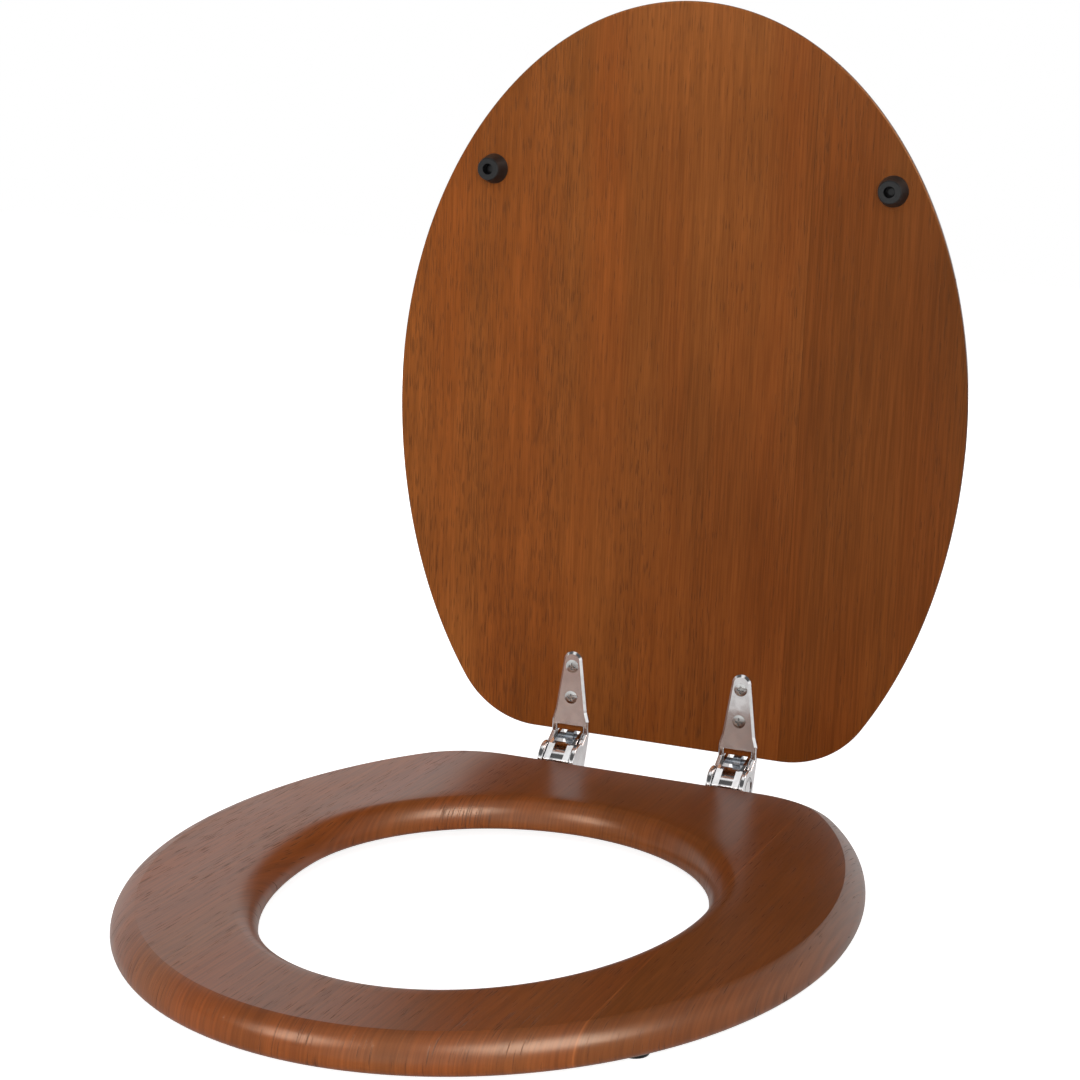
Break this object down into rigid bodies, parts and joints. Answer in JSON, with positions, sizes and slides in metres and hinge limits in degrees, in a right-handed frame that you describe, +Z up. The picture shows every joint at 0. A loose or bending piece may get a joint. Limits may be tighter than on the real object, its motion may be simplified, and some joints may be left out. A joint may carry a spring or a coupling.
{
  "type": "toilet seat",
  "caption": "Oval wooden toilet seat with a flat lid standing open on chrome two-pin hinges, eye-bolt pan fixings and rubber bumpers.",
  "frame": {"origin": "on the pan's rim plane, midway between the two fixing studs", "axes": "+X to the right seen from the front, +Y to the back, +Z up; the seat lies flat and the lid stands open"},
  "size_m": [0.365, 0.5006, 0.5315],
  "materials": {
    "stained_wood": "satin lacquer over a mid-brown stain",
    "chrome": "polished plate",
    "zinc": "bright zinc plate",
    "black_steel": "black oxide",
    "rubber": "matt black"
  },
  "bodies": {
    "pan_fixings": {"eye_bolt_left": "zinc", "eye_bolt_right": "zinc"},
    "seat": {"seat_ring": "stained_wood", "seat_arm_left": "chrome", "seat_arm_right": "chrome", "post_axle_left": "zinc", "post_axle_right": "zinc", "seat_arm_screws_left": "chrome", "seat_arm_screws_right": "chrome", "seat_foot_front_left": "rubber", "seat_foot_front_right": "rubber", "seat_foot_rear_left": "rubber", "seat_foot_rear_right": "rubber", "seat_foot_screws": "black_steel"},
    "lid": {"lid_board": "stained_wood", "lid_arm_left": "chrome", "lid_arm_right": "chrome", "pivot_pin_left": "chrome", "pivot_pin_right": "chrome", "lid_arm_screws_left": "chrome", "lid_arm_screws_right": "chrome", "lid_bumper_left": "rubber", "lid_bumper_right": "rubber", "lid_bumper_screws": "black_steel"}
  },
  "joints": [
    {"name": "seat_raise", "type": "hinge", "parent": "pan_fixings", "child": "seat", "pos_m": [0, 0, 0.031], "axis": [-1, 0, 0], "range_deg": [0, 92]},
    {"name": "lid_swing", "type": "hinge", "parent": "seat", "child": "lid", "pos_m": [0, -0.016, 0.0195], "axis": [-1, 0, 0], "range_deg": [-88, 0]}
  ]
}
